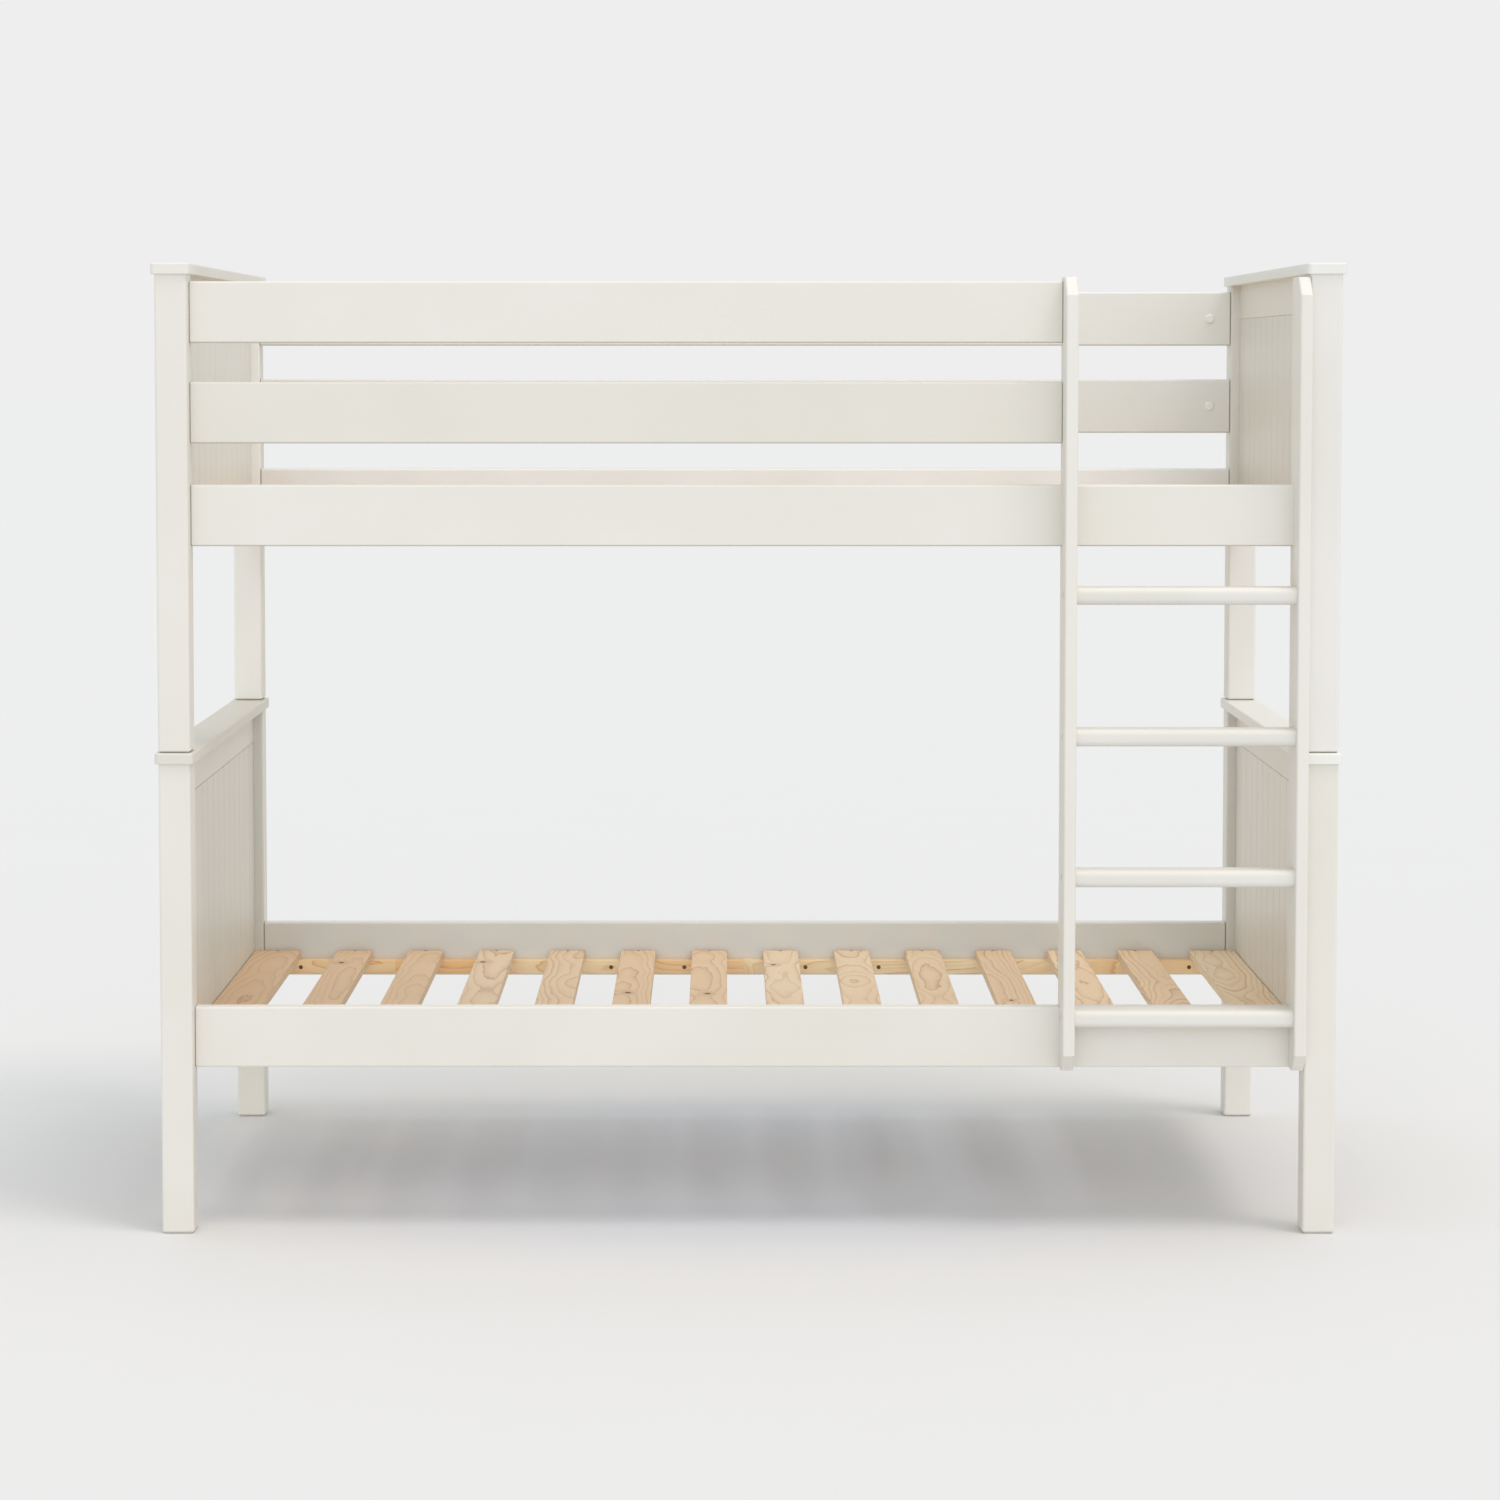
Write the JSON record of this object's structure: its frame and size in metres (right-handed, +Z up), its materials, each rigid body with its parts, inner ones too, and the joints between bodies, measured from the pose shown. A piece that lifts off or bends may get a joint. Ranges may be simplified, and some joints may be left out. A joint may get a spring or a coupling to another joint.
{
  "type": "bunk bed with ladder",
  "caption": "Painted wooden bunk bed: two stacking slatted beds with panelled ends, guard rails round the upper one and an upright ladder at the right of the front.",
  "frame": {"origin": "on the floor, at the middle of the footprint, ladder included", "axes": "+X along the bed towards the ladder's end, -Y towards the front, where the ladder is, +Z up"},
  "size_m": [2.032, 1.059, 1.668],
  "materials": {
    "painted_wood": "satin stone-white paint over wood",
    "pine": "planed pine, clear finish",
    "batten_pine": "planed pine, clear finish",
    "beech": "bare turned beech",
    "zinc": "bright zinc plate",
    "dark_steel": "bronze-passivated steel",
    "white_plastic": "moulded white plastic"
  },
  "bodies": {
    "lower_bunk": {"lower_front_left_post": "painted_wood", "lower_back_left_post": "painted_wood", "lower_left_cap": "painted_wood", "lower_left_panel_top_rail": "painted_wood", "lower_left_panel_bottom_rail": "painted_wood", "lower_left_panel_boards": "painted_wood", "lower_front_right_post": "painted_wood", "lower_back_right_post": "painted_wood", "lower_right_cap": "painted_wood", "lower_right_panel_top_rail": "painted_wood", "lower_right_panel_bottom_rail": "painted_wood", "lower_right_panel_boards": "painted_wood", "lower_front_side_rail": "painted_wood", "lower_front_batten": "batten_pine", "lower_back_side_rail": "painted_wood", "lower_back_batten": "batten_pine", "lower_slats": "pine", "lower_rail_bolts": "zinc", "lower_barrel_nuts": "zinc", "lower_dowels": "beech", "lower_batten_screws": "dark_steel", "lower_slat_screws": "dark_steel", "stacking_pins": "zinc"},
    "upper_bunk": {"upper_front_left_post": "painted_wood", "upper_back_left_post": "painted_wood", "upper_left_cap": "painted_wood", "upper_left_panel_top_rail": "painted_wood", "upper_left_panel_bottom_rail": "painted_wood", "upper_left_panel_boards": "painted_wood", "upper_front_right_post": "painted_wood", "upper_back_right_post": "painted_wood", "upper_right_cap": "painted_wood", "upper_right_panel_top_rail": "painted_wood", "upper_right_panel_bottom_rail": "painted_wood", "upper_right_panel_boards": "painted_wood", "upper_front_side_rail": "painted_wood", "upper_front_batten": "batten_pine", "upper_back_side_rail": "painted_wood", "upper_back_batten": "batten_pine", "upper_slats": "pine", "upper_rail_bolts": "zinc", "upper_barrel_nuts": "zinc", "upper_dowels": "beech", "upper_batten_screws": "dark_steel", "upper_slat_screws": "dark_steel", "front_middle_guard_rail": "painted_wood", "front_top_guard_rail": "painted_wood", "back_middle_guard_rail": "painted_wood", "back_top_guard_rail": "painted_wood", "ladder_left_stile": "painted_wood", "ladder_right_stile": "painted_wood", "ladder_tread_1": "painted_wood", "ladder_tread_2": "painted_wood", "ladder_tread_3": "painted_wood", "ladder_tread_4": "painted_wood", "nut_covers": "white_plastic", "tread_screws": "zinc", "ladder_rail_screws": "zinc", "guard_rail_screws": "zinc"}
  },
  "joints": [
    {"name": "upper_bunk_lift", "type": "slide", "parent": "lower_bunk", "child": "upper_bunk", "axis": [0, 0, 1], "range_m": [0, 0.6]}
  ]
}
